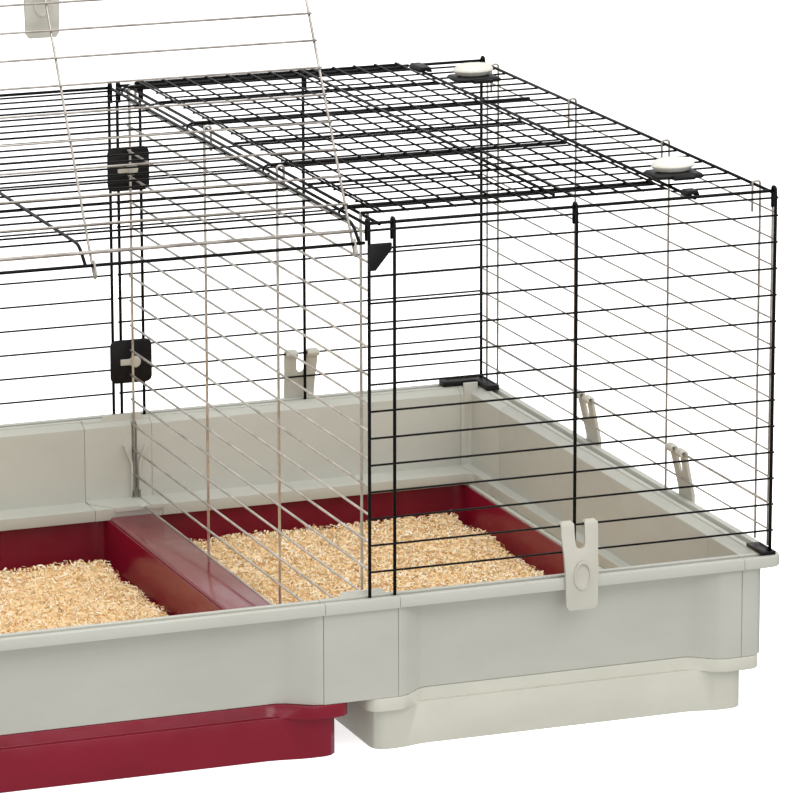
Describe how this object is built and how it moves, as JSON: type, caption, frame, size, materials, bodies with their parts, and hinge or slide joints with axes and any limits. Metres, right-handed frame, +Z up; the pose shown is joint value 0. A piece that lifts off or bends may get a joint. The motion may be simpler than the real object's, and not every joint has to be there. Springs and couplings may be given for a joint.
{
  "type": "rabbit hutch",
  "caption": "Indoor rabbit hutch: plastic trays under a snap-together base frame, a black wire cage with a raised front door, a hinged roof lid, a removable divider and base clips.",
  "frame": {"origin": "centre of the bounding box, on the floor", "axes": "+X along the length towards the small extension, front at -Y, +Z up"},
  "size_m": [1.4, 0.7292, 0.7339],
  "materials": {
    "maroon": "gloss burgundy plastic",
    "grey_tray": "warm grey plastic, lightly textured",
    "bedding": "loose pale wood shavings",
    "wall": "satin warm light grey plastic",
    "black_plastic": "satin black plastic",
    "black_wire": "black powder coat",
    "grey_wire": "bare galvanised wire",
    "clip": "off-white plastic"
  },
  "bodies": {
    "hutch": {"main_tray": "maroon", "extension_liner": "maroon", "tray_bridge": "maroon", "extension_tray": "grey_tray", "bedding_main": "bedding", "bedding_extension": "bedding", "main_wall_front": "wall", "main_wall_back": "wall", "main_wall_left": "wall", "corner_front_left": "wall", "corner_back_left": "wall", "junction_front": "wall", "junction_back": "wall", "extension_wall_front": "wall", "extension_wall_back": "wall", "extension_wall_right": "wall", "corner_front_right": "wall", "corner_back_right": "wall", "rim_connector_front_left": "black_plastic", "rim_connector_back_left": "black_plastic", "rim_connector_front_right": "black_plastic", "rim_connector_back_right": "black_plastic", "front_gusset": "black_plastic", "connector_plate_upper": "black_plastic", "connector_plate_lower": "black_plastic", "lid_saddle_front": "black_plastic", "lid_saddle_rear": "black_plastic", "main_back_panel": "black_wire", "main_left_panel": "black_wire", "main_roof_panel": "black_wire", "extension_front_panel": "black_wire", "extension_back_panel": "black_wire", "extension_hinge_rails": "black_wire", "extension_latch_grille": "black_wire"},
    "front_door": {"front_door": "grey_wire"},
    "extension_lid": {"extension_lid": "black_wire", "latch_base_front": "black_plastic", "latch_base_rear": "black_plastic"},
    "side_panel": {"side_panel": "grey_wire"},
    "partition_panel": {"partition_panel": "grey_wire"},
    "key_toggle_upper": {"key_toggle_upper": "clip"},
    "key_toggle_lower": {"key_toggle_lower": "clip"},
    "latch_button_front": {"latch_button_front": "clip"},
    "latch_button_rear": {"latch_button_rear": "clip"},
    "clip_extension_front": {"clip_extension_front": "clip"},
    "clip_extension_back": {"clip_extension_back": "clip"},
    "clip_main_back_right": {"clip_main_back_right": "clip"},
    "clip_main_back_left": {"clip_main_back_left": "clip"},
    "clip_side_front": {"clip_side_front": "clip"},
    "clip_side_rear": {"clip_side_rear": "clip"},
    "clip_left_front": {"clip_left_front": "clip"},
    "clip_left_rear": {"clip_left_rear": "clip"},
    "clip_door_right": {"clip_door_right": "clip"},
    "clip_door_left": {"clip_door_left": "clip"}
  },
  "joints": [
    {"name": "front_door_hinge", "type": "hinge", "parent": "hutch", "child": "front_door", "pos_m": [-0.18, -0.35, 0.461], "axis": [1, 0, 0], "range_deg": [0, 210]},
    {"name": "extension_lid_hinge", "type": "hinge", "parent": "hutch", "child": "extension_lid", "pos_m": [0.3, 0, 0.476], "axis": [0, -1, 0], "range_deg": [0, 75]},
    {"name": "side_panel_swing", "type": "hinge", "parent": "hutch", "child": "side_panel", "pos_m": [0.684, 0, 0.476], "axis": [0, -1, 0], "range_deg": [0, 100]},
    {"name": "partition_lift", "type": "slide", "parent": "hutch", "child": "partition_panel", "axis": [0, 0, 1], "range_m": [0, 0.008]},
    {"name": "latch_front_slide", "type": "slide", "parent": "extension_lid", "child": "latch_button_front", "axis": [-1, 0, 0], "range_m": [0, 0.008]},
    {"name": "latch_rear_slide", "type": "slide", "parent": "extension_lid", "child": "latch_button_rear", "axis": [-1, 0, 0], "range_m": [0, 0.008]},
    {"name": "key_toggle_upper_turn", "type": "hinge", "parent": "hutch", "child": "key_toggle_upper", "pos_m": [0.312, 0.3427, 0.394], "axis": [0, 1, 0], "range_deg": [0, 90]},
    {"name": "key_toggle_lower_turn", "type": "hinge", "parent": "hutch", "child": "key_toggle_lower", "pos_m": [0.312, 0.3427, 0.199], "axis": [0, 1, 0], "range_deg": [0, 90]},
    {"name": "clip_extension_front_swing", "type": "hinge", "parent": "hutch", "child": "clip_extension_front", "pos_m": [0.4968, -0.3523, 0.18995], "axis": [-1, 0, 0], "range_deg": [0, 110]},
    {"name": "clip_extension_back_swing", "type": "hinge", "parent": "hutch", "child": "clip_extension_back", "pos_m": [0.492, 0.3523, 0.18995], "axis": [1, 0, 0], "range_deg": [0, 110]},
    {"name": "clip_main_back_right_swing", "type": "hinge", "parent": "hutch", "child": "clip_main_back_right", "pos_m": [0.048, 0.3523, 0.18995], "axis": [1, 0, 0], "range_deg": [0, 110]},
    {"name": "clip_main_back_left_swing", "type": "hinge", "parent": "hutch", "child": "clip_main_back_left", "pos_m": [-0.442, 0.3523, 0.18995], "axis": [1, 0, 0], "range_deg": [0, 110]},
    {"name": "clip_side_front_swing", "type": "hinge", "parent": "side_panel", "child": "clip_side_front", "pos_m": [0.68615, -0.141, 0.1892], "axis": [0, -1, 0], "range_deg": [0, 110]},
    {"name": "clip_side_rear_swing", "type": "hinge", "parent": "side_panel", "child": "clip_side_rear", "pos_m": [0.68615, 0.082, 0.1892], "axis": [0, -1, 0], "range_deg": [0, 110]},
    {"name": "clip_left_front_swing", "type": "hinge", "parent": "hutch", "child": "clip_left_front", "pos_m": [-0.6831, -0.141, 0.18995], "axis": [0, 1, 0], "range_deg": [0, 110]},
    {"name": "clip_left_rear_swing", "type": "hinge", "parent": "hutch", "child": "clip_left_rear", "pos_m": [-0.6831, 0.082, 0.18995], "axis": [0, 1, 0], "range_deg": [0, 110]},
    {"name": "clip_door_right_swing", "type": "hinge", "parent": "front_door", "child": "clip_door_right", "pos_m": [0.051, -0.20337, 0.71005], "axis": [1, 0, 0], "range_deg": [0, 142]},
    {"name": "clip_door_left_swing", "type": "hinge", "parent": "front_door", "child": "clip_door_left", "pos_m": [-0.422, -0.20337, 0.71005], "axis": [1, 0, 0], "range_deg": [0, 142]}
  ]
}
